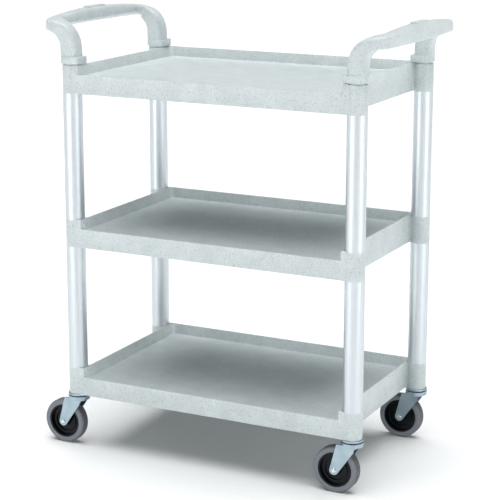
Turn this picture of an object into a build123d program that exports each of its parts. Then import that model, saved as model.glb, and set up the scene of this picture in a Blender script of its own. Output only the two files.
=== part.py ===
from build123d import *
import os
from math import cos, sin, radians, degrees, atan2, sqrt

# Food service trolley: three identical moulded shelves on four aluminium corner posts, a moulded
# U handle at each end and four stem casters. Millimetres. X runs along the shelves, -Y is the open
# serving side with the low lip, +Z is up. The origin is on the floor under the middle of the shelves.

# ---- driving dimensions ------------------------------------------------------------------------
# posts
tube_diameter = 42.0
tube_wall = 3.0
post_spacing_x = 664.0
post_spacing_y = 370.0

# shelf mouldings
shelf_pitch = 338.0          # underside of one shelf to the underside of the next
rim_height = 61.5            # underside to the top of the end and back walls
boss_height = 60.0           # height of the round corner bosses between two posts
lip_height = 41.0            # underside to the top of the low front lip
floor_top = 39.0             # underside to the tray floor
floor_thickness = 3.5
wall_thickness = 3.2
apron_setback = 3.0          # front apron and back wall faces, in from the outermost line of the bosses
wall_slope = 9.0             # how far each tray wall leans in by the time it reaches the floor
lip_thickness = 4.0
tray_corner_radius = 9.0
floor_cove_radius = 2.5
boss_step_clearance = 1.0    # the rim stops this far from a post that stands on the boss
web_reach = 14.0             # web that ties each boss to the end wall, past the post axis
web_round = 5.0
apron_round = 14.0           # blend of the apron face into the round boss
rib_thickness = 2.5
rib_clearance = 6.0          # underside of the ribs above the underside of the skirt
rib_cells_x = 8
rib_cells_y = 5
notch_run = 16.0             # length of the slanted cheek behind each front corner

# plugs that join the posts through the bosses
plug_clearance = 0.1         # on the radius
plug_reach = 30.0            # engagement in each tube
plug_wall = 4.0
handle_socket_wall = 3.0     # foot of the handle leg, round the spigot it stands over

# handles
leg_width = 40.0             # along X
leg_depth = 38.0             # along Y
leg_straight = 39.0          # boss top to the start of the elbow
elbow_inner_radius = 31.0    # under the elbow
elbow_outer_radius = 58.0    # over the elbow
grip_reach = 74.5            # post axis to the outermost face of the grip
grip_bow = 8.5               # how much less it reaches at the handle's ends
grip_thickness = 36.0        # along X, at the middle
grip_crown_height = 108.5    # boss top to the top of the grip, at the middle
grip_crown_drop = 12.5       # how much lower its top is at the ends
grip_inner_bottom = 82.0     # boss top to the lower edge of the grip's inner face
grip_corner_radius = 26.0    # in plan, outside
grip_inner_corner = 12.0     # in plan, inside
pad_length = 88.0
pad_width = 20.0
pad_rise = 3.0
collar_gap = 3.0             # shadow gap between the boss and the collar
collar_height = 15.5
collar_proud_inner = 6.0     # past the leg on the side of the tray
collar_proud_side = 2.0      # past the leg towards front and back
collar_stop = 14.0           # the band ends this far outboard of the post axis
collar_corner_round = 6.0
socket_end_gap = 1.0         # above the spigot, inside the leg

# casters
wheel_diameter = 100.0
wheel_width = 25.0
wheel_trail = 34.0
tyre_thickness = 12.5
wheel_side_clearance = 1.4   # wheel to the inner face of each fork leg
wheel_top_clearance = 12.1   # wheel to the underside of the crown
hub_bore_clearance = 0.05
tyre_shoulder_round = 6.0
tyre_bead_chamfer = 1.0
hub_rim_inset = 0.5          # hub rim face below the tyre's side
hub_face_gap = 0.4           # hub boss to each fork leg
hub_boss_wall = 5.5
hub_web_half = 4.0
hub_rim_wall = 4.0
hub_ledge_inset = 14.0       # inner edge of the raised ring, in from the hub's outside
hub_ledge_width = 3.0
hub_ledge_rise = 3.5
hub_draft = 1.0
fork_plate = 2.3
fork_tip_radius = 9.8
leg_rear_reach = 29.0        # rear top corner of the leg, back from the kingpin
leg_rear_drop = 4.0          # and below the crown
leg_shoulder_reach = 15.0    # where the leg's top steps up to the crown
leg_flare_start = 9.0        # leading edge, ahead of the kingpin, where it starts to flare
leg_flare_radius = 11.0
crown_plate = 2.5
crown_diameter = 48.0
crown_skirt_depth = 9.0
crown_skirt_wall = 2.4
race_diameter = 47.0
race_thickness = 4.0
race_gap = 2.4               # between the fixed race and the crown
pressed_edge_round = 0.8
ball_diameter = 4.6
ball_circle_radius = 17.0
ball_count = 16
ball_clearance = 0.1
kingpin_diameter = 10.0
kingpin_clearance = 0.05
kingpin_head_radius = 9.0
kingpin_head_flat = 5.4      # radius of the flat on the peened head
kingpin_head_height = 4.0
stem_diameter = 11.0
stem_clearance = 0.1
stem_length = 40.0
stem_shoulder_step = 0.5
stem_tip_chamfer = 1.5
stem_end_gap = 4.0           # above the stem, inside the bottom plug
axle_diameter = 8.0
axle_clearance = 0.05
axle_head_step = 1.2
axle_head_dimple = 0.8
axle_head_height = 2.4
bushing_wall = 2.0

# ---- places worked out from them ---------------------------------------------------------------
tube_radius = tube_diameter / 2
side_face_offset = tube_radius - apron_setback
post_x = post_spacing_x / 2
post_y = post_spacing_y / 2
end_face_x = post_x - tube_radius            # end walls run just inboard of the bosses
side_face_y = post_y + side_face_offset
tray_x = end_face_x - wall_thickness         # inner edge of the rim
tray_y = side_face_y - wall_thickness
wheel_radius = wheel_diameter / 2
crown_bottom = wheel_diameter + wheel_top_clearance
crown_top = crown_bottom + crown_plate
race_bottom = crown_top + race_gap
caster_height = race_bottom + race_thickness     # floor to the underside of the bottom shelf
shelf_z = {
    "bottom": caster_height,
    "middle": caster_height + shelf_pitch,
    "top": caster_height + 2 * shelf_pitch,
}
handle_z = shelf_z["top"] + boss_height      # handles stand on the top bosses
boss_bore_radius = tube_radius - tube_wall
plug_radius = boss_bore_radius - plug_clearance
corners = {
    "front_left": (-1, -1),
    "front_right": (1, -1),
    "back_left": (-1, 1),
    "back_right": (1, 1),
}
skirt_bottom = crown_top - crown_skirt_depth
ball_centre_z = (race_bottom + crown_top) / 2
stem_bore_radius = stem_diameter / 2 + stem_clearance
stem_shoulder_radius = stem_diameter / 2 + stem_shoulder_step
fork_gap = wheel_width + 2 * wheel_side_clearance
hub_radius = wheel_radius - tyre_thickness
axle_head_radius = axle_diameter / 2 + axle_head_step
bushing_diameter = axle_diameter + 2 * bushing_wall
spigot_radius = plug_radius - handle_socket_wall
handle_outer_y = post_y + leg_depth / 2
handle_inner_y = post_y - leg_depth / 2
grip_inner_x = grip_reach - grip_thickness
grip_outer_bottom = leg_straight + elbow_inner_radius
view_margin = 5.0                            # how far cutting outlines run past what they trim
past_grip = grip_reach + view_margin
past_crown = grip_crown_height + pad_rise + view_margin


def slab(sketch, low, high):
    """Solid between two heights over a flat outline."""
    return extrude(Pos(0, 0, low) * sketch, high - low)


def turned(points, centre=(0, 0, 0), along="z"):
    """Solid of revolution from (radius, height) points; its axis is Z, or Y through the centre."""
    section = make_face(Plane.XZ * Polyline(*points, close=True))
    solid = revolve(section, Axis.Z)
    if along == "y":
        solid = Rot(90, 0, 0) * solid
    return Pos(*centre) * solid


def tube(outer, inner, low, high):
    """Round tube or ring standing on Z."""
    return slab(Circle(outer) - Circle(inner), low, high)


# ---- shelf: one moulding, used three times -----------------------------------------------------
def shelf_outline():
    """Plan outline: tray rectangle, a round boss outside each corner and the web that ties it on."""
    plan = Rectangle(2 * end_face_x, 2 * side_face_y)
    web_width = post_x - end_face_x
    web_depth = side_face_offset + web_reach
    for side_x, side_y in corners.values():
        web_centre = (
            side_x * (end_face_x + web_width / 2),
            side_y * (side_face_y - web_depth / 2),
        )
        plan += Pos(*web_centre) * Rectangle(web_width, web_depth)
        plan += Pos(side_x * post_x, side_y * post_y) * Circle(tube_radius)
    apron_meets_boss = [
        v for v in plan.vertices() if abs(abs(v.Y) - side_face_y) < 0.01 and abs(v.X) < post_x
    ]
    plan = fillet(apron_meets_boss, apron_round)
    web_meets_wall = [
        v for v in plan.vertices() if abs(abs(v.X) - end_face_x) < 0.01 and abs(v.Y) < post_y
    ]
    return fillet(web_meets_wall, web_round)


def tray_pocket():
    """Space inside the walls: upright at the rim, leaning in to the floor, and open to the front."""
    wall_rise = rim_height - floor_top
    top = rim_height + view_margin
    grow = wall_slope * (wall_rise + view_margin) / wall_rise
    front_y = -(side_face_y - lip_thickness)
    back_y = tray_y - wall_slope
    middle_y = (front_y + back_y) / 2
    length = back_y - front_y
    low = Pos(0, middle_y, floor_top) * RectangleRounded(
        2 * (tray_x - wall_slope), length, tray_corner_radius
    )
    high = Pos(0, middle_y, top) * RectangleRounded(
        2 * (tray_x - wall_slope + grow), length + 2 * grow, tray_corner_radius
    )
    pocket = loft([low.face(), high.face()])
    floor_edges = pocket.faces().sort_by(Axis.Z)[0].edges()
    return fillet(floor_edges, floor_cove_radius)


def front_opening():
    """What is taken off above the low front lip, with a slanted cheek behind each front corner."""
    outside_y = -(side_face_y + view_margin)
    cheek_y = -(side_face_y - lip_thickness / 2)
    foot_x = tray_x - wall_slope - floor_cove_radius
    plan = make_face(
        Polyline(
            (-tray_x, outside_y),
            (-tray_x, cheek_y),
            (-foot_x, cheek_y + notch_run),
            (foot_x, cheek_y + notch_run),
            (tray_x, cheek_y),
            (tray_x, outside_y),
            close=True,
        )
    )
    return slab(plan, lip_height, rim_height + view_margin)


def rib_cells():
    """Pockets between the stiffening ribs under the floor."""
    pitch_x = (2 * tray_x + rib_thickness) / rib_cells_x
    pitch_y = (2 * tray_y + rib_thickness) / rib_cells_y
    cell = Rectangle(pitch_x - rib_thickness, pitch_y - rib_thickness)
    cells = Sketch() + [
        place * cell for place in GridLocations(pitch_x, pitch_y, rib_cells_x, rib_cells_y)
    ]
    return slab(cells, rib_clearance, floor_top - floor_thickness)


def shelf():
    """The moulding with its underside at Z = 0."""
    body = slab(shelf_outline(), 0, rim_height)
    body -= tray_pocket()
    body -= front_opening()
    body -= slab(Rectangle(2 * tray_x, 2 * tray_y), 0, rib_clearance)
    body -= rib_cells()
    for side_x, side_y in corners.values():
        boss = Pos(side_x * post_x, side_y * post_y)
        body -= boss * slab(
            Circle(tube_radius + boss_step_clearance), boss_height, rim_height
        )
        body -= boss * slab(Circle(boss_bore_radius), 0, rim_height)
    return body


# ---- posts and the plugs inside them -----------------------------------------------------------
def post():
    """Aluminium tube that fills the clear height between two bosses, standing on Z = 0."""
    return tube(tube_radius, boss_bore_radius, 0, shelf_pitch - boss_height)


def middle_plug():
    """Hollow plug through a middle boss and into the tubes below and above; Z = 0 at the boss."""
    inner = plug_radius - plug_wall
    return tube(plug_radius, inner, -plug_reach, boss_height + plug_reach)


def top_plug():
    """As the middle plug, with a slimmer spigot that stands up into the handle leg."""
    inner = spigot_radius - plug_wall
    low = tube(plug_radius, inner, -plug_reach, boss_height)
    return low + tube(spigot_radius, inner, boss_height, boss_height + plug_reach)


def bottom_plug():
    """Plug from the bottom boss up into its tube; its solid lower half grips the caster stem."""
    inner = plug_radius - plug_wall
    solid_to = stem_length + stem_end_gap
    low = tube(plug_radius, stem_bore_radius, 0, solid_to)
    return low + tube(plug_radius, inner, solid_to, boss_height + plug_reach)


# ---- handle ------------------------------------------------------------------------------------
# Modelled for the +X end with the post axes at X = 0 and the boss tops at Z = 0. The views below
# run past the handle where another view trims it.
def leg_side_view():
    """Leg and elbow seen along Y: straight up, then curving outwards under and over to the grip."""
    half = leg_width / 2
    over_end = (-half + elbow_outer_radius, leg_straight + elbow_outer_radius)
    under_end = (half + elbow_inner_radius, grip_outer_bottom)
    with BuildSketch(Plane.XZ) as view:
        with BuildLine():
            Line((-half, 0), (-half, leg_straight))
            RadiusArc((-half, leg_straight), over_end, elbow_outer_radius)
            Polyline(
                over_end,
                (over_end[0], past_crown),
                (past_grip, past_crown),
                (past_grip, grip_outer_bottom),
                under_end,
            )
            RadiusArc(under_end, (half, leg_straight), -elbow_inner_radius)
            Polyline((half, leg_straight), (half, 0), (-half, 0))
        make_face()
    return view.sketch


def grip_side_view():
    """Grip section seen along Y, with its underside sloping down to the outer face."""
    slope = (grip_inner_bottom - grip_outer_bottom) / grip_thickness
    past_corner = grip_inner_corner + view_margin
    with BuildSketch(Plane.XZ) as view:
        with BuildLine():
            Polyline(
                (grip_inner_x - past_corner, grip_inner_bottom + slope * past_corner),
                (grip_inner_x - past_corner, past_crown),
                (past_grip, past_crown),
                (past_grip, grip_outer_bottom),
                (grip_reach, grip_outer_bottom),
                close=True,
            )
        make_face()
    return view.sketch


def handle_plan():
    """Handle seen from above: a U with a bowed grip, round outer corners and coved inner ones."""
    half = leg_width / 2
    end_reach = grip_reach - grip_bow
    corner_x = end_reach - grip_corner_radius
    corner_y = handle_outer_y - grip_corner_radius
    with BuildSketch() as view:
        with BuildLine():
            ThreePointArc((end_reach, -corner_y), (grip_reach, 0), (end_reach, corner_y))
            RadiusArc((end_reach, corner_y), (corner_x, handle_outer_y), -grip_corner_radius)
            Polyline(
                (corner_x, handle_outer_y),
                (-half, handle_outer_y),
                (-half, handle_inner_y),
                (grip_inner_x, handle_inner_y),
                (grip_inner_x, -handle_inner_y),
                (-half, -handle_inner_y),
                (-half, -handle_outer_y),
                (corner_x, -handle_outer_y),
            )
            RadiusArc((corner_x, -handle_outer_y), (end_reach, -corner_y), -grip_corner_radius)
        make_face()
        inner_corners = [v for v in view.vertices() if abs(v.X - grip_inner_x) < 0.01]
        fillet(inner_corners, grip_inner_corner)
    return view.sketch


def crowned_block(rise):
    """Block under the long arch of the grip's top, raised by a few millimetres where asked."""
    half = handle_outer_y
    arch_radius = (half ** 2 + grip_crown_drop ** 2) / (2 * grip_crown_drop)
    arch = Pos(0, grip_crown_height + rise - arch_radius) * Circle(arch_radius)
    arch &= Pos(0, past_crown / 2) * Rectangle(2 * (half + view_margin), past_crown)
    return extrude(Plane.YZ * arch, 2 * past_grip, both=True)


def handle():
    """U handle: the meeting of its side, plan and front views, with a collar on each leg."""
    legs = extrude(leg_side_view(), handle_outer_y + view_margin, both=True)
    between = Box(4 * past_grip, 2 * handle_inner_y, 4 * past_crown)
    grip = extrude(grip_side_view(), handle_outer_y, both=True) & between
    body = slab(handle_plan(), 0, past_crown) & (legs - between + grip)
    body &= crowned_block(0)
    pad_outline = Rot(0, 0, 90) * SlotOverall(pad_length, pad_width)
    pad = slab(Pos(grip_reach - grip_thickness / 2, 0) * pad_outline, grip_inner_bottom, past_crown)
    body += pad & crowned_block(pad_rise)
    collar_length = leg_width / 2 + collar_proud_inner + collar_stop
    collar = Pos(collar_stop - collar_length / 2, 0) * RectangleRounded(
        collar_length, leg_depth + 2 * collar_proud_side, collar_corner_round
    )
    around_leg = Rectangle(leg_width + view_margin, leg_depth + view_margin)
    socket_radius = spigot_radius + plug_clearance
    for side in (-1, 1):
        leg = Pos(0, side * post_y)
        body += leg * slab(collar, collar_gap, collar_gap + collar_height)
        body -= leg * slab(around_leg - Circle(boss_bore_radius), 0, collar_gap)
        body -= leg * slab(Circle(socket_radius), 0, plug_reach + socket_end_gap)
    return body


# ---- caster ------------------------------------------------------------------------------------
# Modelled with the swivel axis on X = Y = 0, the floor at Z = 0 and the wheel trailing to -X.
def stem():
    """Plated stem with its shoulder, the kingpin below it and the peened head under the crown."""
    top = caster_height + stem_length
    head_top = crown_bottom - ball_clearance
    radius = stem_diameter / 2
    pin = kingpin_diameter / 2
    return turned([
        (0, head_top - kingpin_head_height),
        (kingpin_head_flat, head_top - kingpin_head_height),
        (kingpin_head_radius, head_top - kingpin_head_height / 2),
        (kingpin_head_radius, head_top),
        (pin, head_top),
        (pin, race_bottom),
        (stem_shoulder_radius, race_bottom),
        (stem_shoulder_radius, caster_height),
        (radius, caster_height),
        (radius, top - stem_tip_chamfer),
        (radius - stem_tip_chamfer, top),
        (0, top),
    ])


def ball_groove():
    """Ring-shaped groove that the swivel balls run in."""
    ring = Torus(ball_circle_radius, ball_diameter / 2 + ball_clearance)
    return Pos(0, 0, ball_centre_z) * ring


def race():
    """Fixed upper race, pressed against the underside of the boss."""
    disc = tube(race_diameter / 2, stem_shoulder_radius, race_bottom, caster_height)
    rim = disc.edges().filter_by(GeomType.CIRCLE).sort_by(SortBy.RADIUS)[-2:]
    return fillet(rim, pressed_edge_round) - ball_groove()


def balls():
    """Ring of steel balls between the race and the crown."""
    ball = Sphere(ball_diameter / 2)
    ring = [
        Pos(0, 0, ball_centre_z) * place * ball
        for place in PolarLocations(ball_circle_radius, ball_count)
    ]
    return Compound(children=ring)


def fork_leg_outline():
    """Tapered leg seen along Y: round tip at the axle, shoulder at the back, flare at the front."""
    axle = (-wheel_trail, wheel_radius)
    crown_middle = crown_bottom + crown_plate / 2
    rear_top = (-leg_rear_reach, crown_bottom - leg_rear_drop)
    shoulder = (-leg_shoulder_reach, crown_bottom - leg_rear_drop)
    flare_low = (leg_flare_start, skirt_bottom - leg_flare_radius)
    half_width = fork_gap / 2 + fork_plate
    crown_edge = sqrt((crown_diameter / 2) ** 2 - half_width ** 2)
    flare_high = (crown_edge, skirt_bottom)

    def tangent_foot(top, side):
        dx, dz = top[0] - axle[0], top[1] - axle[1]
        reach = sqrt(dx * dx + dz * dz)
        spread = degrees(atan2(sqrt(reach ** 2 - fork_tip_radius ** 2), fork_tip_radius))
        angle = degrees(atan2(dz, dx)) + side * spread
        return (
            axle[0] + fork_tip_radius * cos(radians(angle)),
            axle[1] + fork_tip_radius * sin(radians(angle)),
        )

    rear_foot = tangent_foot(rear_top, 1)
    front_foot = tangent_foot(flare_low, -1)
    bottom = (axle[0], axle[1] - fork_tip_radius)
    with BuildSketch(Plane.XZ) as view:
        with BuildLine():
            Line(rear_top, rear_foot)
            ThreePointArc(rear_foot, bottom, front_foot)
            Line(front_foot, flare_low)
            RadiusArc(flare_low, flare_high, leg_flare_radius)
            Polyline(
                flare_high,
                (crown_edge, crown_middle),
                (-leg_shoulder_reach, crown_middle),
                shoulder,
                rear_top,
            )
        make_face()
    return view.sketch


def fork():
    """Pressed fork: dished crown with its skirt in front and two tapered legs that trail behind."""
    radius = crown_diameter / 2
    half_width = fork_gap / 2 + fork_plate
    crown = slab(Circle(radius), crown_bottom, crown_top)
    skirt = tube(radius, radius - crown_skirt_wall, skirt_bottom, crown_top)
    skirt &= Pos(radius / 2, 0, 0) * Box(radius, 4 * radius, 4 * caster_height)
    skirt_edges = skirt.edges().filter_by(GeomType.CIRCLE).sort_by(Axis.Z)[:2]
    leg = extrude(fork_leg_outline(), fork_plate)
    leg = Pos(0, -leg.bounding_box().min.Y, 0) * leg
    body = crown + fillet(skirt_edges, pressed_edge_round)
    for side in (-1, 1):
        body += Pos(0, side * (half_width - fork_plate / 2) - fork_plate / 2, 0) * leg
    hole = kingpin_diameter / 2 + kingpin_clearance
    body -= slab(Circle(hole), 0, caster_height)
    body -= ball_groove()
    axle_hole = Rot(90, 0, 0) * Cylinder(axle_diameter / 2 + axle_clearance, 4 * half_width)
    return body - Pos(-wheel_trail, 0, wheel_radius) * axle_hole


def axle():
    """Riveted axle: plain shank with a dimpled head at each end."""
    shank = axle_diameter / 2
    face = fork_gap / 2 + fork_plate
    end = face + axle_head_height
    rise = axle_head_height / 2
    half = [
        (shank, face),
        (axle_head_radius, face),
        (axle_head_radius, end - rise),
        (shank, end),
        (shank / 2, end),
        (0, end - axle_head_dimple),
    ]
    other_half = [(radius, -height) for radius, height in reversed(half)]
    return turned(other_half + half, centre=(-wheel_trail, 0, wheel_radius), along="y")


def bushing():
    """Steel sleeve on the axle, clamped between the fork legs; the hub turns on it."""
    length = fork_gap - 2 * axle_clearance
    ring = tube(bushing_diameter / 2, axle_diameter / 2 + axle_clearance, -length / 2, length / 2)
    return Pos(-wheel_trail, 0, wheel_radius) * Rot(90, 0, 0) * ring


def hub():
    """Moulded black hub: rim, dished web with a ring ledge and a long boss."""
    rim = wheel_width / 2 - hub_rim_inset
    bore = bushing_diameter / 2 + hub_bore_clearance
    boss_end = fork_gap / 2 - hub_face_gap
    ledge_in = hub_radius - hub_ledge_inset
    ledge_out = ledge_in + hub_ledge_width
    ledge_top = hub_web_half + hub_ledge_rise
    half = [
        (bore, boss_end),
        (bore + hub_boss_wall, boss_end),
        (bore + hub_boss_wall + hub_draft, hub_web_half),
        (ledge_in, hub_web_half),
        (ledge_in + hub_draft / 2, ledge_top),
        (ledge_out, ledge_top),
        (ledge_out + hub_draft / 2, hub_web_half + hub_draft),
        (hub_radius - hub_rim_wall - hub_draft, hub_web_half + hub_draft),
        (hub_radius - hub_rim_wall, rim),
        (hub_radius, rim),
    ]
    other_half = [(radius, -height) for radius, height in reversed(half)]
    return turned(half + other_half, centre=(-wheel_trail, 0, wheel_radius), along="y")


def tyre():
    """Grey rubber tyre with rounded shoulders, bonded to the hub's rim."""
    half = wheel_width / 2
    height = wheel_radius - hub_radius
    section = Pos(hub_radius + height / 2, 0) * Rectangle(height, 2 * half)
    shoulders = section.vertices().sort_by(Axis.X)[-2:]
    section = fillet(shoulders, tyre_shoulder_round)
    beads = [v for v in section.vertices() if v.X < hub_radius + 0.01]
    section = chamfer(beads, tyre_bead_chamfer)
    solid = revolve(Plane.XZ * section, Axis.Z)
    return Pos(-wheel_trail, 0, wheel_radius) * Rot(90, 0, 0) * solid


# ---- all pieces in place -----------------------------------------------------------------------
def pieces():
    """Every node of the trolley, by name, in place."""
    made = {}
    for level, height in shelf_z.items():
        made[f"shelf_{level}"] = Pos(0, 0, height) * shelf()
    plugs = {"bottom": bottom_plug(), "middle": middle_plug(), "top": top_plug()}
    caster = {
        "stem": stem(),
        "race": race(),
        "balls": balls(),
        "fork": fork(),
        "axle": axle(),
        "bushing": bushing(),
        "hub": hub(),
        "tyre": tyre(),
    }
    for corner, (side_x, side_y) in corners.items():
        at_post = Pos(side_x * post_x, side_y * post_y)
        for storey, level in (("lower", "bottom"), ("upper", "middle")):
            above_boss = Pos(0, 0, shelf_z[level] + boss_height)
            made[f"post_{storey}_{corner}"] = at_post * above_boss * post()
        for level, plug in plugs.items():
            made[f"plug_{level}_{corner}"] = at_post * Pos(0, 0, shelf_z[level]) * plug
        for name, piece in caster.items():
            made[f"caster_{corner}_{name}"] = at_post * piece
    right = Pos(post_x, 0, handle_z) * handle()
    made["handle_right"] = right
    made["handle_left"] = mirror(right, Plane.YZ)
    return made


os.makedirs("parts", exist_ok=True)
for name, piece in pieces().items():
    export_step(piece, f"parts/{name}.step")
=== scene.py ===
import bmesh
import bpy
import math
from mathutils import Matrix, Vector


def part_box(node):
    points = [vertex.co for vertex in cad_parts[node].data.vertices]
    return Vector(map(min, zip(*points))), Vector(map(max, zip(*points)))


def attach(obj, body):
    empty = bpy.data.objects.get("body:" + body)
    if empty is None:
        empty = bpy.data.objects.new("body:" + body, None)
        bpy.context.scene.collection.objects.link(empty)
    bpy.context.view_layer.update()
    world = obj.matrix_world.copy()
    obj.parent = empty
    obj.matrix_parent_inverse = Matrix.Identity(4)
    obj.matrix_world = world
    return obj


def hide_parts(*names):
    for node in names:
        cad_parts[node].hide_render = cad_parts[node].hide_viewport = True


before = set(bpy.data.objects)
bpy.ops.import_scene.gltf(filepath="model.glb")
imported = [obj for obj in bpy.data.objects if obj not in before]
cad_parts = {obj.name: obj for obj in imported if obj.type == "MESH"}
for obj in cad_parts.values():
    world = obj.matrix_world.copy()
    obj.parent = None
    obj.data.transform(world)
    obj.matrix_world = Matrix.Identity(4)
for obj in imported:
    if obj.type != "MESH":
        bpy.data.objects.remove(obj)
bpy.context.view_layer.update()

# ---- tray shelves -------------------------------------------------------------------------------
# Three identical injection mouldings in granite-fleck polypropylene: a flat tray with three raised
# walls and a low front lip, four round bosses and a grid of ribs below. Every edge is rounded a
# little by the mould, which is what draws the thin bright line along the rims.
SHELVES = ("shelf_bottom", "shelf_middle", "shelf_top")
EDGE_ROUND = 0.0011
EDGE_ROUND_STEPS = 2
SHARP_EDGE = math.radians(38)


def linear(hex_colour):
    """sRGB hex to the linear RGBA that shader sockets take."""
    channels = [int(hex_colour[i:i + 2], 16) / 255 for i in (1, 3, 5)]
    curve = [c / 12.92 if c <= 0.04045 else ((c + 0.055) / 1.055) ** 2.4 for c in channels]
    return (*curve, 1.0)


def add_node(tree, kind, settings=(), links=()):
    """Adds a shader node; settings go to its sockets or, where it has none by that name, its properties."""
    node = tree.nodes.new(kind)
    for name, value in dict(settings).items():
        if name in node.inputs:
            node.inputs[name].default_value = value
        else:
            setattr(node, name, value)
    for name, source in dict(links).items():
        tree.links.new(source, node.inputs[name])
    return node


def new_material(name):
    """An empty node material: its tree, its output and the object coordinates that patterns read."""
    material = bpy.data.materials.new(name)
    material.use_nodes = True
    tree = material.node_tree
    tree.nodes.clear()
    output = add_node(tree, "ShaderNodeOutputMaterial")
    place = add_node(tree, "ShaderNodeTexCoord").outputs["Object"]
    return material, tree, output, place


def cells_per_metre(size_mm):
    """Texture scale at which one noise cell is that many millimetres across."""
    return 1000 / size_mm


def steps(*stops):
    """Colour ramp stops as (position, hex colour)."""
    return [(position, linear(colour)) for position, colour in stops]


def set_ramp(node, stops, interpolation="LINEAR"):
    """Puts (position, colour) stops into a colour ramp node."""
    ramp = node.color_ramp
    ramp.interpolation = interpolation
    while len(ramp.elements) < len(stops):
        ramp.elements.new(1.0)
    for element, (position, colour) in zip(ramp.elements, stops):
        element.position = position
        element.color = colour
    return node


def granite_polypropylene():
    """Granite-fleck polypropylene, injection moulded in a spark-eroded tool: a pale cool grey with
    dark and light flecks, satin, with a fine even grain. The real flecks are 0.5 to 1.5 mm; the
    coarse set is drawn at 3.4 mm so that it still shows from across a room."""
    material, tree, output, place = new_material("granite_fleck_polypropylene_moulded")
    body = set_ramp(
        add_node(tree, "ShaderNodeValToRGB", links={"Fac": add_node(
            tree, "ShaderNodeTexNoise", {"Scale": cells_per_metre(38), "Detail": 3.0}, {"Vector": place}
        ).outputs["Fac"]}),
        steps((0.35, "#c4cdce"), (0.65, "#cdd5d6")),
    )
    colour = body.outputs["Color"]
    flecks = (
        ("coarse dark", 3.4, 0.59, 0.68, "#9fabad", 0.75),
        ("fine dark", 1.7, 0.57, 0.64, "#86939a", 0.55),
        ("fine light", 2.1, 0.60, 0.70, "#edf2f2", 0.60),
    )
    for number, (label, size_mm, low, high, fleck_colour, strength) in enumerate(flecks):
        shifted = add_node(
            tree, "ShaderNodeMapping", {"Location": (0.37 * number, 0.11 * number, 0.53 * number)},
            {"Vector": place},
        )
        noise = add_node(
            tree, "ShaderNodeTexNoise",
            {"Scale": cells_per_metre(size_mm), "Detail": 2.0, "Roughness": 0.6},
            {"Vector": shifted.outputs["Vector"]},
        )
        mask = add_node(
            tree, "ShaderNodeMapRange",
            {"From Min": low, "From Max": high, "To Min": 0.0, "To Max": strength},
            {"Value": noise.outputs["Fac"]},
        )
        mix = add_node(
            tree, "ShaderNodeMix", {"data_type": "RGBA", "label": label},
        )
        tree.links.new(mask.outputs["Result"], mix.inputs["Factor"])
        tree.links.new(colour, mix.inputs[6])
        mix.inputs[7].default_value = linear(fleck_colour)
        colour = mix.outputs[2]
    grain = add_node(
        tree, "ShaderNodeTexNoise", {"Scale": cells_per_metre(0.9), "Detail": 2.0}, {"Vector": place}
    )
    bump = add_node(
        tree, "ShaderNodeBump", {"Strength": 0.22, "Distance": 0.00012}, {"Height": grain.outputs["Fac"]}
    )
    gloss = add_node(
        tree, "ShaderNodeMapRange", {"To Min": 0.32, "To Max": 0.44}, {"Value": grain.outputs["Fac"]}
    )
    shader = add_node(
        tree, "ShaderNodeBsdfPrincipled", {"IOR": 1.49, "Subsurface Weight": 0.0},
        {"Base Color": colour, "Roughness": gloss.outputs["Result"], "Normal": bump.outputs["Normal"]},
    )
    tree.links.new(shader.outputs["BSDF"], output.inputs["Surface"])
    return material


def cad_copy(node, name):
    """A merged copy of a CAD node's mesh in an object of its own, selected and active."""
    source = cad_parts[node]
    bpy.ops.object.select_all(action="DESELECT")
    piece = bpy.data.objects.new(name, source.data.copy())
    bpy.context.scene.collection.objects.link(piece)
    bpy.context.view_layer.objects.active = piece
    piece.select_set(True)
    bpy.ops.object.mode_set(mode="EDIT")
    bpy.ops.mesh.select_all(action="SELECT")
    bpy.ops.mesh.remove_doubles(threshold=0.00001)
    bpy.ops.object.mode_set(mode="OBJECT")
    return piece


def round_edges(piece, width, segments=EDGE_ROUND_STEPS, angle=SHARP_EDGE):
    """Joins the flat triangles into whole faces, rounds every sharp edge and shades the rest smooth."""
    bpy.ops.object.mode_set(mode="EDIT")
    bpy.ops.mesh.select_all(action="SELECT")
    bpy.ops.mesh.dissolve_limited(angle_limit=math.radians(0.6))
    bpy.ops.object.mode_set(mode="OBJECT")
    bevel = piece.modifiers.new("edge_round", "BEVEL")
    bevel.width = width
    bevel.segments = segments
    bevel.limit_method = "ANGLE"
    bevel.angle_limit = angle
    bevel.harden_normals = False
    bevel.use_clamp_overlap = True
    bpy.ops.object.modifier_apply(modifier=bevel.name)
    bpy.ops.object.shade_smooth_by_angle(angle=SHARP_EDGE)


def paint(piece, material):
    """Gives a piece that one material."""
    piece.data.materials.clear()
    piece.data.materials.append(material)


granite = granite_polypropylene()
for shelf_node in SHELVES:
    shelf = cad_copy(shelf_node, shelf_node + "_moulding")
    round_edges(shelf, EDGE_ROUND)
    paint(shelf, granite)
    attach(shelf, "frame")
    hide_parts(shelf_node)

# ---- posts --------------------------------------------------------------------------------------
# Eight lengths of drawn aluminium tube, clear anodised, that fill the space between two bosses.
# Drawing leaves faint lines along the tube; the anodising turns their shine into soft streaks.
POST_NODES = [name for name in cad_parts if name.startswith("post_")]
DRAW_LINE_MM = 1.1
DRAW_LINE_STRETCH = 0.004


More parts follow.
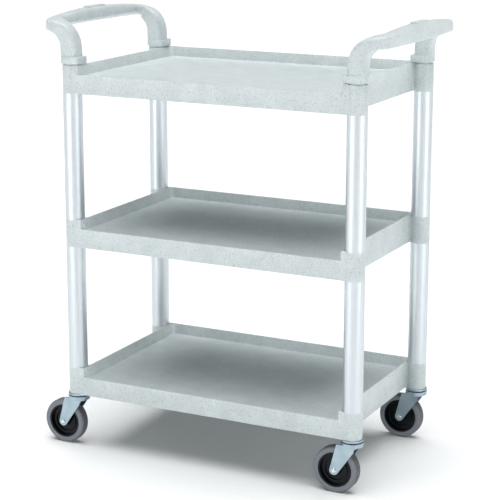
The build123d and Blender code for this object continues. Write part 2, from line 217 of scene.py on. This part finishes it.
def anodised_aluminium():
    """Clear anodised aluminium tube, drawn: a bright, slightly cool metal with soft streaks along
    its length."""
    material, tree, output, place = new_material("anodised_aluminium_drawn")
    along = add_node(
        tree, "ShaderNodeMapping", {"Scale": (1.0, 1.0, DRAW_LINE_STRETCH)}, {"Vector": place}
    )
    lines = add_node(
        tree, "ShaderNodeTexNoise", {"Scale": cells_per_metre(DRAW_LINE_MM), "Detail": 3.0},
        {"Vector": along.outputs["Vector"]},
    )
    tone = set_ramp(
        add_node(tree, "ShaderNodeValToRGB", links={"Fac": lines.outputs["Fac"]}),
        steps((0.30, "#c3cacf"), (0.70, "#d8dee1")),
    )
    haze = add_node(
        tree, "ShaderNodeMapRange", {"To Min": 0.36, "To Max": 0.48}, {"Value": lines.outputs["Fac"]}
    )
    bump = add_node(
        tree, "ShaderNodeBump", {"Strength": 0.10, "Distance": 0.00005}, {"Height": lines.outputs["Fac"]}
    )
    shader = add_node(
        tree, "ShaderNodeBsdfPrincipled", {"Metallic": 1.0},
        {
            "Base Color": tone.outputs["Color"],
            "Roughness": haze.outputs["Result"],
            "Normal": bump.outputs["Normal"],
        },
    )
    tree.links.new(shader.outputs["BSDF"], output.inputs["Surface"])
    return material


aluminium = anodised_aluminium()
for post_node in POST_NODES:
    paint(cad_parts[post_node], aluminium)

# ---- plugs --------------------------------------------------------------------------------------
# Moulded nylon plugs, hidden inside the posts and bosses. They join each post to the bosses, the
# handles to the top bosses and the caster stems to the bottom ones.
PLUG_NODES = [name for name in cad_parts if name.startswith("plug_")]


def black_nylon():
    """Black nylon, injection moulded: dark, slightly glossy, with a faint mottle."""
    material, tree, output, place = new_material("black_nylon_moulded")
    mottle = add_node(
        tree, "ShaderNodeTexNoise", {"Scale": cells_per_metre(4), "Detail": 2.0}, {"Vector": place}
    )
    tone = set_ramp(
        add_node(tree, "ShaderNodeValToRGB", links={"Fac": mottle.outputs["Fac"]}),
        steps((0.3, "#15171a"), (0.7, "#202326")),
    )
    shader = add_node(
        tree, "ShaderNodeBsdfPrincipled", {"Roughness": 0.42, "IOR": 1.53},
        {"Base Color": tone.outputs["Color"]},
    )
    tree.links.new(shader.outputs["BSDF"], output.inputs["Surface"])
    return material


nylon = black_nylon()
for plug_node in PLUG_NODES:
    paint(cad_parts[plug_node], nylon)

# ---- handles ------------------------------------------------------------------------------------
# One U moulding at each end, in the same granite-fleck polypropylene as the shelves. Its legs stand
# on the top bosses through a collar and curve outwards into a bowed, arched grip with soft edges and
# a low raised pad in the middle of its top.
LEG_HALF_X = 0.020
LEG_HALF_Y = 0.019
LEG_STRAIGHT = 0.039
OVER_RADIUS = 0.058
UNDER_RADIUS = 0.031
GRIP_REACH = 0.0745
GRIP_BOW = 0.0085
GRIP_THICKNESS = 0.036
GRIP_TOP = 0.1085
GRIP_TOP_DROP = 0.0125
GRIP_INNER_BOTTOM = 0.082
GRIP_OUTER_BOTTOM = LEG_STRAIGHT + UNDER_RADIUS
OUTER_CORNER = 0.026
INNER_CORNER = 0.012
TOP_EDGE_ROUND = 0.0055
BOTTOM_EDGE_ROUND = 0.0035
COLLAR_GAP = 0.003
COLLAR_HEIGHT = 0.0155
COLLAR_PROUD_INNER = 0.006
COLLAR_PROUD_SIDE = 0.002
COLLAR_STOP = 0.014
COLLAR_CORNER = 0.005
COLLAR_EDGE = 0.0008
FOOT_RADIUS = 0.018
PAD_LENGTH = 0.074
PAD_WIDTH = 0.020
PAD_RISE = 0.0018
PAD_EDGE = 0.0012
HANDLE_SMOOTHING = 3
FOOT_LOOP = 0.001
ELBOW_DEGREES = (22.5, 45, 66)
CORNER_DEGREES = (18, 45, 72, 90)
GRIP_STATIONS = (-0.142, -0.100, -0.050)
COLLAR_CORNER_STEPS = 5
ROUND_SIDES = 48

post_low, post_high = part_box("post_upper_front_right")
post_centre = (Vector(post_low) + Vector(post_high)) / 2
boss_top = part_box("handle_right")[0][2]
grip_inner_x = GRIP_REACH - GRIP_THICKNESS


def arch_top(y):
    """Height of the grip's top, above the boss, at a distance from the middle of the handle."""
    return GRIP_TOP - GRIP_TOP_DROP * (y / (abs(post_centre.y) + LEG_HALF_Y)) ** 2


def section(outer_top, outer_bottom, inner_bottom, inner_top):
    """Eight points round a four-cornered section, each corner given as the two ends of its round."""
    corner_points = [Vector(p) for p in (outer_top, outer_bottom, inner_bottom, inner_top)]
    rounds = (TOP_EDGE_ROUND, BOTTOM_EDGE_ROUND, BOTTOM_EDGE_ROUND, TOP_EDGE_ROUND)
    points = []
    for number, (point, edge_round) in enumerate(zip(corner_points, rounds)):
        before = corner_points[number - 1]
        after = corner_points[(number + 1) % 4]
        points.append(point + (before - point).normalized() * edge_round)
        points.append(point + (after - point).normalized() * edge_round)
    return points


def handle_sections():
    """Sections from one foot to the other, for the +X end: post axes at x = 0, boss tops at z = 0."""
    outer_y = abs(post_centre.y) + LEG_HALF_Y
    inner_y = abs(post_centre.y) - LEG_HALF_Y
    half = []
    for height in (COLLAR_GAP, COLLAR_GAP + FOOT_LOOP, COLLAR_GAP + COLLAR_HEIGHT, LEG_STRAIGHT):
        half.append((
            (-LEG_HALF_X, -outer_y, height), (LEG_HALF_X, -outer_y, height),
            (LEG_HALF_X, -inner_y, height), (-LEG_HALF_X, -inner_y, height),
        ))
    for degrees in ELBOW_DEGREES:
        turn = math.radians(degrees)
        across = 1 - math.cos(turn)
        upward = math.sin(turn)
        over = (OVER_RADIUS * across - LEG_HALF_X, LEG_STRAIGHT + OVER_RADIUS * upward)
        under = (LEG_HALF_X + UNDER_RADIUS * across, LEG_STRAIGHT + UNDER_RADIUS * upward)
        half.append((
            (over[0], -outer_y, over[1]), (under[0], -outer_y, under[1]),
            (under[0], -inner_y, under[1]), (over[0], -inner_y, over[1]),
        ))
    end_reach = GRIP_REACH - GRIP_BOW
    outer_centre = (end_reach - OUTER_CORNER, -(outer_y - OUTER_CORNER))
    inner_centre = (grip_inner_x - INNER_CORNER, -(inner_y - INNER_CORNER))
    for degrees in CORNER_DEGREES:
        turn = math.radians(degrees)
        outer = (
            outer_centre[0] + OUTER_CORNER * math.sin(turn),
            outer_centre[1] - OUTER_CORNER * math.cos(turn),
        )
        inner = (
            inner_centre[0] + INNER_CORNER * math.sin(turn),
            inner_centre[1] - INNER_CORNER * math.cos(turn),
        )
        rise = math.sin(turn)
        inner_bottom = GRIP_OUTER_BOTTOM + (GRIP_INNER_BOTTOM - GRIP_OUTER_BOTTOM) * rise
        half.append((
            (*outer, arch_top(outer[1])), (*outer, GRIP_OUTER_BOTTOM),
            (*inner, inner_bottom), (*inner, arch_top(inner[1])),
        ))
    for y in GRIP_STATIONS:
        reach = GRIP_REACH - GRIP_BOW * (y / outer_centre[1]) ** 2
        half.append((
            (reach, y, arch_top(y)), (reach, y, GRIP_OUTER_BOTTOM),
            (grip_inner_x, y, GRIP_INNER_BOTTOM), (grip_inner_x, y, arch_top(y)),
        ))
    middle = [(
        (GRIP_REACH, 0, GRIP_TOP), (GRIP_REACH, 0, GRIP_OUTER_BOTTOM),
        (grip_inner_x, 0, GRIP_INNER_BOTTOM), (grip_inner_x, 0, GRIP_TOP),
    )]
    mirrored = [tuple((x, -y, z) for x, y, z in corners) for corners in reversed(half)]
    return [section(*corners) for corners in half + middle + mirrored]


def extrude_through(name, sections):
    """Starts from a flat outline and extrudes its face from section to section, then closes it."""
    bpy.ops.object.select_all(action="DESELECT")
    bpy.ops.mesh.primitive_circle_add(vertices=len(sections[0]), fill_type="NGON")
    piece = bpy.context.object
    piece.name = name
    bpy.ops.object.mode_set(mode="EDIT")
    bpy.ops.mesh.select_mode(type="FACE")
    bpy.ops.mesh.select_all(action="SELECT")
    mesh = bmesh.from_edit_mesh(piece.data)
    for vertex, point in zip(list(mesh.verts), sections[0]):
        vertex.co = point
    bmesh.update_edit_mesh(piece.data)
    for before, after in zip(sections, sections[1:]):
        bpy.ops.mesh.extrude_region_move()
        mesh = bmesh.from_edit_mesh(piece.data)
        lifted = [vertex for vertex in mesh.verts if vertex.select]
        moves = []
        for old, new in zip(before, after):
            moves.append((min(lifted, key=lambda vertex: (vertex.co - old).length), new))
        for vertex, new in moves:
            vertex.co = new
        bmesh.update_edit_mesh(piece.data)
    bpy.ops.mesh.select_mode(type="EDGE")
    bpy.ops.mesh.select_all(action="DESELECT")
    bpy.ops.mesh.select_non_manifold(extend=False, use_boundary=True, use_wire=False)
    if any(edge.select for edge in bmesh.from_edit_mesh(piece.data).edges):
        bpy.ops.mesh.edge_face_add()
    bpy.ops.mesh.select_mode(type="FACE")
    bpy.ops.mesh.select_all(action="SELECT")
    bpy.ops.mesh.normals_make_consistent(inside=False)
    bpy.ops.object.mode_set(mode="OBJECT")
    return piece


def apply_modifier(piece, kind, **settings):
    """Adds a modifier with its settings and applies it."""
    bpy.ops.object.select_all(action="DESELECT")
    bpy.context.view_layer.objects.active = piece
    piece.select_set(True)
    modifier = piece.modifiers.new(kind.lower(), kind)
    for name, value in settings.items():
        setattr(modifier, name, value)
    bpy.ops.object.modifier_apply(modifier=modifier.name)


def settle(piece):
    """Moves an object's place, turn and scale into its mesh."""
    bpy.ops.object.select_all(action="DESELECT")
    bpy.context.view_layer.objects.active = piece
    piece.select_set(True)
    bpy.ops.object.transform_apply(location=True, rotation=True, scale=True)


def collar_block(side):
    """The band round the foot of a leg: a block with rounded corners and a fine edge."""
    length = LEG_HALF_X + COLLAR_PROUD_INNER + COLLAR_STOP
    width = 2 * (LEG_HALF_Y + COLLAR_PROUD_SIDE)
    place = (COLLAR_STOP - length / 2, side * abs(post_centre.y), COLLAR_GAP + COLLAR_HEIGHT / 2)
    bpy.ops.object.select_all(action="DESELECT")
    bpy.ops.mesh.primitive_cube_add(size=1, location=place)
    collar = bpy.context.object
    collar.scale = (length, width, COLLAR_HEIGHT)
    settle(collar)
    bpy.ops.object.mode_set(mode="EDIT")
    bpy.ops.mesh.select_mode(type="EDGE")
    bpy.ops.mesh.select_all(action="DESELECT")
    mesh = bmesh.from_edit_mesh(collar.data)
    for edge in mesh.edges:
        upright = abs(edge.verts[0].co.z - edge.verts[1].co.z) > COLLAR_HEIGHT / 2
        edge.select_set(upright)
    bmesh.update_edit_mesh(collar.data)
    bpy.ops.mesh.bevel(offset=COLLAR_CORNER, segments=COLLAR_CORNER_STEPS, affect="EDGES")
    bpy.ops.object.mode_set(mode="OBJECT")
    apply_modifier(
        collar, "BEVEL", width=COLLAR_EDGE, segments=2, limit_method="ANGLE", angle_limit=SHARP_EDGE
    )
    return collar


def foot_disc(side):
    """The round foot that stands on the boss, set back so that a dark gap shows under the collar."""
    bpy.ops.object.select_all(action="DESELECT")
    bpy.ops.mesh.primitive_cylinder_add(
        vertices=ROUND_SIDES, radius=FOOT_RADIUS, depth=2 * COLLAR_GAP,
        location=(0, side * abs(post_centre.y), COLLAR_GAP),
    )
    foot = bpy.context.object
    settle(foot)
    return foot


def grip_pad():
    """The low oval pad on top of the grip: a disc pulled long, with a soft rim."""
    bpy.ops.object.select_all(action="DESELECT")
    bpy.ops.mesh.primitive_cylinder_add(
        vertices=ROUND_SIDES, radius=PAD_WIDTH / 2, depth=4 * PAD_RISE,
        location=(GRIP_REACH - GRIP_THICKNESS / 2, 0, GRIP_TOP - PAD_RISE),
    )
    pad = bpy.context.object
    settle(pad)
    for vertex in pad.data.vertices:
        vertex.co.y += math.copysign((PAD_LENGTH - PAD_WIDTH) / 2, vertex.co.y)
    apply_modifier(pad, "BEVEL", width=PAD_EDGE, segments=3, limit_method="ANGLE", angle_limit=SHARP_EDGE)
    return pad


def united(piece, *others):
    """Joins closed solids into one by boolean union and removes the tools."""
    for other in others:
        apply_modifier(piece, "BOOLEAN", operation="UNION", solver="EXACT", object=other)
        bpy.data.objects.remove(other)
    return piece


def moulded_handle(node, end):
    """One handle; end is 1 for the +X end and -1 for the other, which mirrors it."""
    handle = extrude_through(node + "_moulding", handle_sections())
    apply_modifier(handle, "SUBSURF", levels=HANDLE_SMOOTHING, render_levels=HANDLE_SMOOTHING)
    handle = united(handle, collar_block(-1), collar_block(1), foot_disc(-1), foot_disc(1), grip_pad())
    handle.scale.x = end
    handle.location = (end * post_centre.x, 0, boss_top)
    settle(handle)
    bpy.ops.object.mode_set(mode="EDIT")
    bpy.ops.mesh.select_all(action="SELECT")
    bpy.ops.mesh.normals_make_consistent(inside=False)
    bpy.ops.object.mode_set(mode="OBJECT")
    bpy.ops.object.shade_smooth_by_angle(angle=SHARP_EDGE)
    paint(handle, granite)
    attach(handle, "frame")
    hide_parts(node)


moulded_handle("handle_right", 1)
moulded_handle("handle_left", -1)

# ---- casters: plated steel ----------------------------------------------------------------------
# Each caster hangs from a stem: a fixed race, a pressed fork that swivels under it on a ring of
# balls, and a riveted axle. All of it is pressed or turned steel with a bright bluish zinc plate.
CORNERS = ("front_left", "front_right", "back_left", "back_right")
PLATED = ("stem", "race", "fork", "axle")


def zinc_plated_steel(name, tones, cloud_mm, haze_low, haze_high):
    """Steel, bright zinc plated and passivated: a cool bluish metal, slightly cloudy, with fine
    scratches from the plating barrel."""
    material, tree, output, place = new_material(name)
    cloud = add_node(
        tree, "ShaderNodeTexNoise", {"Scale": cells_per_metre(cloud_mm), "Detail": 5.0}, {"Vector": place}
    )
    tone = set_ramp(
        add_node(tree, "ShaderNodeValToRGB", links={"Fac": cloud.outputs["Fac"]}),
        steps((0.30, tones[0]), (0.55, tones[1]), (0.75, tones[2])),
    )
    haze = add_node(
        tree, "ShaderNodeMapRange", {"To Min": haze_low, "To Max": haze_high},
        {"Value": cloud.outputs["Fac"]},
    )
    scratches = add_node(
        tree, "ShaderNodeTexNoise", {"Scale": cells_per_metre(0.8), "Detail": 3.0, "Distortion": 1.5},
        {"Vector": place},
    )
    bump = add_node(
        tree, "ShaderNodeBump", {"Strength": 0.12, "Distance": 0.00005},
        {"Height": scratches.outputs["Fac"]},
    )
    shader = add_node(
        tree, "ShaderNodeBsdfPrincipled", {"Metallic": 1.0},
        {
            "Base Color": tone.outputs["Color"],
            "Roughness": haze.outputs["Result"],
            "Normal": bump.outputs["Normal"],
        },
    )
    tree.links.new(shader.outputs["BSDF"], output.inputs["Surface"])
    return material


def bearing_steel():
    """Ground bearing steel under a film of grease: a darker, warmer and shinier metal."""
    material, tree, output, place = new_material("bearing_steel_ground")
    film = add_node(
        tree, "ShaderNodeTexNoise", {"Scale": cells_per_metre(3), "Detail": 2.0}, {"Vector": place}
    )
    tone = set_ramp(
        add_node(tree, "ShaderNodeValToRGB", links={"Fac": film.outputs["Fac"]}),
        steps((0.3, "#9c9a96"), (0.7, "#bdbcb9")),
    )
    shader = add_node(
        tree, "ShaderNodeBsdfPrincipled", {"Metallic": 1.0, "Roughness": 0.18},
        {"Base Color": tone.outputs["Color"]},
    )
    tree.links.new(shader.outputs["BSDF"], output.inputs["Surface"])
    return material


pressed_zinc = zinc_plated_steel(
    "zinc_plated_steel_pressed", ("#98aab5", "#a6b7c1", "#b1bfc7"), 26, 0.26, 0.38
)
turned_zinc = zinc_plated_steel(
    "zinc_plated_steel_turned", ("#ccd7dd", "#dae2e6", "#e6ebed"), 5, 0.16, 0.26
)
ground_steel = bearing_steel()
for corner in CORNERS:
    for part in PLATED:
        finish = turned_zinc if part == "axle" else pressed_zinc
        paint(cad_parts[f"caster_{corner}_{part}"], finish)
    for part in ("balls", "bushing"):
        paint(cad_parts[f"caster_{corner}_{part}"], ground_steel)

# ---- casters: hubs and tyres --------------------------------------------------------------------
# A black polypropylene hub turns on a steel sleeve. A grey non-marking rubber tyre is bonded round
# it, paler on its flat sides, with painted shade drawn as a darker colour on its tread.


def hub_polypropylene():
    """Black polypropylene, injection moulded: nearly black with a cool sheen and a faint flow mottle."""
    material, tree, output, place = new_material("black_polypropylene_moulded")
    flow = add_node(
        tree, "ShaderNodeTexNoise", {"Scale": cells_per_metre(7), "Detail": 3.0}, {"Vector": place}
    )
    tone = set_ramp(
        add_node(tree, "ShaderNodeValToRGB", links={"Fac": flow.outputs["Fac"]}),
        steps((0.3, "#04080b"), (0.7, "#0a1116")),
    )
    haze = add_node(
        tree, "ShaderNodeMapRange", {"To Min": 0.16, "To Max": 0.28}, {"Value": flow.outputs["Fac"]}
    )
    shader = add_node(
        tree, "ShaderNodeBsdfPrincipled", {"IOR": 1.49, "Specular IOR Level": 0.22},
        {"Base Color": tone.outputs["Color"], "Roughness": haze.outputs["Result"]},
    )
    tree.links.new(shader.outputs["BSDF"], output.inputs["Surface"])
    return material


def grey_rubber(corner, centre, half_width):
    """Grey thermoplastic rubber, moulded: matt and even on its sides, with painted shade drawn as a darker
    colour on its tread.
    """
    material, tree, output, place = new_material(f"grey_rubber_moulded_{corner}")
    about_axle = add_node(
        tree, "ShaderNodeMapping", {"Location": (-centre.x, -centre.y, -centre.z)}, {"Vector": place}
    )
    split = add_node(tree, "ShaderNodeSeparateXYZ", links={"Vector": about_axle.outputs["Vector"]})
    across = add_node(
        tree, "ShaderNodeMath", {"operation": "ABSOLUTE"}, {0: split.outputs["Y"]}
    )
    # Painted shade mask: 0 across the middle of the tyre's width, where the tread gets the painted shade
    # colour, rising to 1 at the flat sides.
    side = add_node(
        tree, "ShaderNodeMapRange",
        {"From Min": half_width * 0.62, "From Max": half_width * 0.95},
        {"Value": across.outputs["Value"]},
    )
    scuff = add_node(
        tree, "ShaderNodeTexNoise", {"Scale": cells_per_metre(2.5), "Detail": 4.0}, {"Vector": place}
    )
    side_tone = set_ramp(
        add_node(tree, "ShaderNodeValToRGB", links={"Fac": scuff.outputs["Fac"]}),
        steps((0.3, "#6c7078"), (0.7, "#7c8087")),
    )
    # Painted shade: a darker tread colour stands in for the shade that falls on the tread.
    tread_painted_shade_tone = set_ramp(
        add_node(tree, "ShaderNodeValToRGB", links={"Fac": scuff.outputs["Fac"]}),
        steps((0.3, "#4a4a4f"), (0.7, "#5c5b60")),
    )
    mix = add_node(tree, "ShaderNodeMix", {"data_type": "RGBA"}, {"Factor": side.outputs["Result"]})
    tree.links.new(tread_painted_shade_tone.outputs["Color"], mix.inputs[6])
    tree.links.new(side_tone.outputs["Color"], mix.inputs[7])
    bump = add_node(
        tree, "ShaderNodeBump", {"Strength": 0.15, "Distance": 0.0001}, {"Height": scuff.outputs["Fac"]}
    )
    shader = add_node(
        tree, "ShaderNodeBsdfPrincipled", {"Roughness": 0.55, "IOR": 1.52},
        {"Base Color": mix.outputs[2], "Normal": bump.outputs["Normal"]},
    )
    tree.links.new(shader.outputs["BSDF"], output.inputs["Surface"])
    return material


hub_black = hub_polypropylene()
for corner in CORNERS:
    paint(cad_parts[f"caster_{corner}_hub"], hub_black)
    low, high = (Vector(p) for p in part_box(f"caster_{corner}_tyre"))
    tyre_centre = (low + high) / 2
    rubber = grey_rubber(corner, tyre_centre, (high.y - low.y) / 2)
    paint(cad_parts[f"caster_{corner}_tyre"], rubber)

# ---- studio -------------------------------------------------------------------------------------
# A pale floor, a broad soft overhead light, low soft boxes either side of the camera and a
# dim room that is pale towards the horizon.
FLOOR_SIZE = 90.0
CAMERA_PLACE = (1.5598, -3.1174, 1.3009)
CAMERA_YAW = 0.4632
CAMERA_PITCH = 0.2165
CAMERA_ROLL = 0.0015
FOCAL_PIXELS = 1623.4
FRAME_PIXELS = 500
SENSOR_MM = 36.0
AXIS_ABOVE_CENTRE = 40
GLOW_FULL_BELOW = 0.12
GLOW_GONE_ABOVE = 0.30

bpy.ops.object.select_all(action="DESELECT")
bpy.ops.mesh.primitive_plane_add(size=FLOOR_SIZE, location=(0, 0, 0))
floor = bpy.context.object
floor.name = "studio_floor"
floor_paint, floor_tree, floor_output, floor_place = new_material("matt_white_sweep")
floor_tone = set_ramp(
    add_node(floor_tree, "ShaderNodeValToRGB", links={"Fac": add_node(
        floor_tree, "ShaderNodeTexNoise", {"Scale": 0.6, "Detail": 1.0}, {"Vector": floor_place}
    ).outputs["Fac"]}),
    steps((0.3, "#f2f3f3"), (0.7, "#f5f6f6")),
)
floor_shader = add_node(
    floor_tree, "ShaderNodeBsdfPrincipled", {"Roughness": 0.9, "Specular IOR Level": 0.1},
    {"Base Color": floor_tone.outputs["Color"]},
)
floor_tree.links.new(floor_shader.outputs["BSDF"], floor_output.inputs["Surface"])
paint(floor, floor_paint)


def soft_box(name, place, target, size, watts):
    """A square area light that faces its target."""
    lamp = bpy.data.lights.new(name, "AREA")
    lamp.shape = "RECTANGLE"
    lamp.size, lamp.size_y = size
    lamp.energy = watts
    box = bpy.data.objects.new(name, lamp)
    bpy.context.scene.collection.objects.link(box)
    facing = (Vector(target) - Vector(place)).to_track_quat("-Z", "Y")
    box.matrix_world = Matrix.LocRotScale(Vector(place), facing, None)
    return box


def broad_light(name, degrees_across, strength):
    """A very wide sky-like lamp straight above, which lights the whole floor evenly."""
    lamp = bpy.data.lights.new(name, "SUN")
    lamp.angle = math.radians(degrees_across)
    lamp.energy = strength
    sky = bpy.data.objects.new(name, lamp)
    bpy.context.scene.collection.objects.link(sky)
    return sky


middle = (0, 0, 0.5)
broad_light("overhead", 60, 3.5)
soft_box("left_of_camera", (-1.3, -3.0, 0.7), middle, (1.4, 1.2), 17)
soft_box("right_of_camera", (3.4, -0.8, 0.9), middle, (1.6, 1.6), 19)

room = bpy.data.worlds.new("pale_room")
room.use_nodes = True
bpy.context.scene.world = room
room_tree = room.node_tree
room_tree.nodes.clear()
room_output = add_node(room_tree, "ShaderNodeOutputWorld")
direction = add_node(room_tree, "ShaderNodeTexCoord").outputs["Generated"]
height = add_node(room_tree, "ShaderNodeSeparateXYZ", links={"Vector": direction}).outputs["Z"]
horizon_glow = add_node(
    room_tree, "ShaderNodeMapRange",
    {"From Min": GLOW_FULL_BELOW, "From Max": GLOW_GONE_ABOVE, "To Min": 1.0, "To Max": 0.15},
    {"Value": height},
)
room_light = add_node(
    room_tree, "ShaderNodeBackground", {"Color": linear("#f6f9fa")},
    {"Strength": horizon_glow.outputs["Result"]},
)
room_tree.links.new(room_light.outputs["Background"], room_output.inputs["Surface"])

lens = bpy.data.cameras.new("camera")
lens.sensor_width = SENSOR_MM
lens.lens = FOCAL_PIXELS * SENSOR_MM / FRAME_PIXELS
lens.shift_y = -AXIS_ABOVE_CENTRE / FRAME_PIXELS
camera = bpy.data.objects.new("camera", lens)
bpy.context.scene.collection.objects.link(camera)
turn = (
    Matrix.Rotation(CAMERA_YAW, 3, "Z")
    @ Matrix.Rotation(math.pi / 2 - CAMERA_PITCH, 3, "X")
    @ Matrix.Rotation(CAMERA_ROLL, 3, "Z")
)
camera.matrix_world = Matrix.LocRotScale(Vector(CAMERA_PLACE), turn.to_quaternion(), None)
bpy.context.scene.camera = camera
bpy.context.scene.view_settings.view_transform = "Standard"
